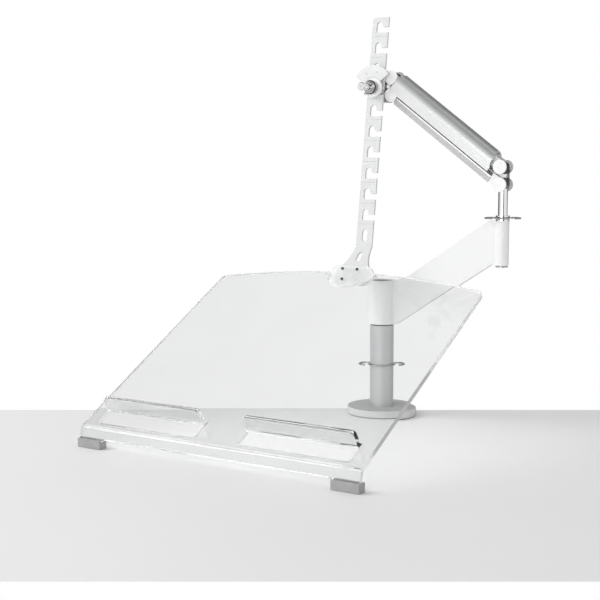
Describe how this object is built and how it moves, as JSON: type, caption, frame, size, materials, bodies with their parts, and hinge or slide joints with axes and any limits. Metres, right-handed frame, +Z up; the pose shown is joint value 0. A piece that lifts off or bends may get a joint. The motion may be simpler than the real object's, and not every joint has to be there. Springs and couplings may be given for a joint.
{
  "type": "portable drawing board",
  "caption": "Clear sloping drawing board on two rubber shoes, hung by a notched strip from a swivelling parallel arm on a desk post.",
  "frame": {"origin": "on the desk plane under the post's axis, at the mouth of the base's tapped hole", "axes": "+X along the board's width, +Y from the board's front towards the post and beyond, +Z up along the post"},
  "size_m": [0.4228, 0.4466, 0.5637],
  "materials": {
    "clear": "clear polished acrylic",
    "milky": "translucent milky",
    "rubber_grey": "matt",
    "rubber_black": "matt",
    "grey_paint": "satin",
    "light_paint": "satin",
    "bar_paint": "satin",
    "head_paint": "satin",
    "aluminium": "brushed",
    "chrome": "polished",
    "white_plastic": "smooth",
    "steel": "machined",
    "black_plastic": "matt",
    "nylon": "natural nylon"
  },
  "bodies": {
    "base": {"base_pad": "rubber_grey", "base_disc": "grey_paint", "post_plug": "steel", "post_tube": "grey_paint", "post_spindle": "grey_paint", "hub_washer": "black_plastic", "hub_screw": "steel"},
    "post_ring": {"post_clip": "chrome"},
    "raised_arm": {"lower_arm": "light_paint", "hub_bush_lower": "nylon", "hub_bush_upper": "nylon", "hub_cap": "black_plastic", "eye_bush_lower": "nylon", "eye_bush_upper": "nylon"},
    "rotor": {"shaft": "chrome", "shaft_screw": "steel", "collar_lower": "chrome", "collar_upper": "chrome", "rear_knuckle": "chrome", "rear_pins": "steel", "rear_caps": "white_plastic", "rear_rings": "rubber_black", "rear_end_caps": "rubber_black"},
    "shaft_ring": {"shaft_clip": "chrome"},
    "upper_arm": {"upper_link": "light_paint", "arm_cover": "aluminium", "cover_blocks": "black_plastic"},
    "bar": {"lower_bar": "light_paint", "bar_sleeve": "bar_paint"},
    "head": {"front_knuckle": "chrome", "front_pins": "steel", "front_caps": "white_plastic", "front_rings": "rubber_black", "front_end_caps": "rubber_black", "head_block": "head_paint", "head_screws": "steel", "stud": "chrome", "stud_spacer": "white_plastic", "face_washer": "white_plastic", "thumb_nut": "chrome", "nut_ring": "rubber_black", "nut_lever": "chrome"},
    "fan": {"keeper": "milky"},
    "hanger": {"hook_strip": "milky", "foot_plate": "milky", "foot_screws": "steel", "foot_nuts": "steel", "pivot_pins": "steel"},
    "board": {"board_sheet": "clear", "foot_left": "rubber_grey", "foot_right": "rubber_grey"}
  },
  "joints": [
    {"name": "arm_swivel", "type": "hinge", "parent": "base", "child": "raised_arm", "pos_m": [0, 0, 0.16], "axis": [0, 0, 1], "range_deg": [-170, 170]},
    {"name": "post_ring_turn", "type": "hinge", "parent": "base", "child": "post_ring", "pos_m": [0, 0, 0.071], "axis": [0, 0, 1], "range_deg": [-170, 170]},
    {"name": "shaft_swivel", "type": "hinge", "parent": "raised_arm", "child": "rotor", "pos_m": [0.18, 0.009, 0.25], "axis": [0, 0, 1], "range_deg": [-4, 60]},
    {"name": "shaft_ring_turn", "type": "hinge", "parent": "rotor", "child": "shaft_ring", "pos_m": [0.18, 0.009, 0.2873], "axis": [0, 0, 1], "range_deg": [-170, 170]},
    {"name": "arm_lift", "type": "hinge", "parent": "rotor", "child": "upper_arm", "pos_m": [0.18, 0.009, 0.3558], "axis": [0, 1, 0], "range_deg": [-28, 24]},
    {"name": "bar_link", "type": "hinge", "parent": "rotor", "child": "bar", "pos_m": [0.18, 0.009, 0.332], "axis": [0, 1, 0], "range_deg": [-28, 24]},
    {"name": "head_level", "type": "hinge", "parent": "upper_arm", "child": "head", "pos_m": [0.0123, 0.009, 0.4794], "axis": [0, 1, 0], "range_deg": [-24, 28]},
    {"name": "keeper_turn", "type": "hinge", "parent": "head", "child": "fan", "pos_m": [-0.009, -0.014, 0.466], "axis": [0, 1, 0], "range_deg": [-60, 60]},
    {"name": "hanger_swing", "type": "hinge", "parent": "head", "child": "hanger", "pos_m": [-0.009, -0.009, 0.466], "axis": [0, 1, 0], "range_deg": [-6, 6]},
    {"name": "board_tilt", "type": "hinge", "parent": "hanger", "child": "board", "pos_m": [-0.0077, -0.07235, 0.20468], "axis": [1, 0, 0], "range_deg": [-10, 30]}
  ],
  "couplings": [
    {"joint": "bar_link", "follows": "arm_lift", "ratio": 1},
    {"joint": "head_level", "follows": "arm_lift", "ratio": -1}
  ]
}
